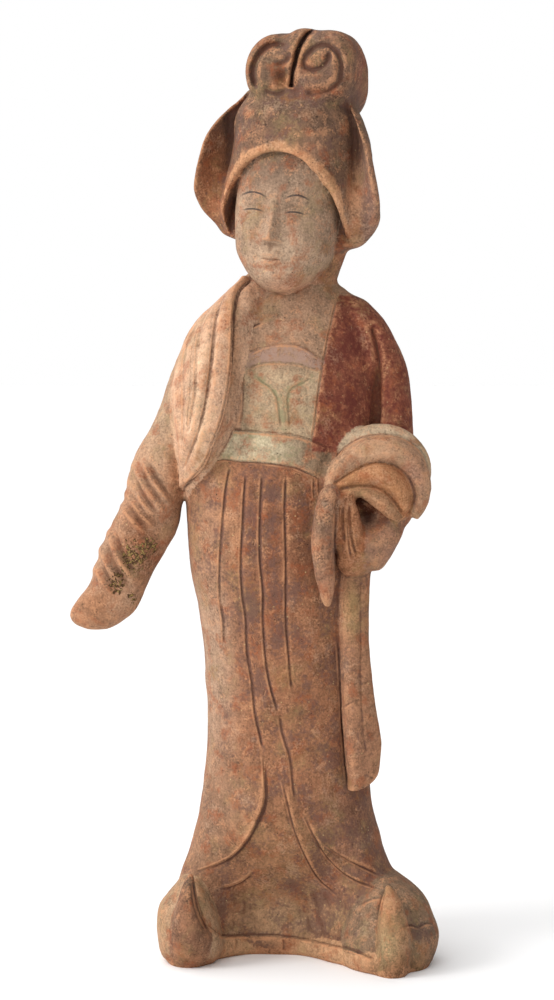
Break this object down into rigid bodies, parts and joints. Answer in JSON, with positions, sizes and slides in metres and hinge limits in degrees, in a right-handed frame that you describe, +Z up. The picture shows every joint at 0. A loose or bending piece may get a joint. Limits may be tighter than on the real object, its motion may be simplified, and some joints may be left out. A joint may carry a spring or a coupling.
{
  "type": "standing court lady figure",
  "caption": "Standing court lady of fired clay with a winged coiffure, a folded shawl, a rolled sleeve and a long pleated gown that flares over her upturned shoes.",
  "frame": {"origin": "centre of the figure's bounding box in plan, at the level of the surface it stands on", "axes": "+Z up along the figure, which faces -Y; +X is on its left-hand side"},
  "size_m": [0.1674, 0.0892, 0.4204],
  "materials": {
    "fired_clay": "unglazed fired clay, matte, with worn slip and faded pigments"
  },
  "bodies": {
    "root": {"court_lady": "fired_clay"}
  },
  "joints": []
}
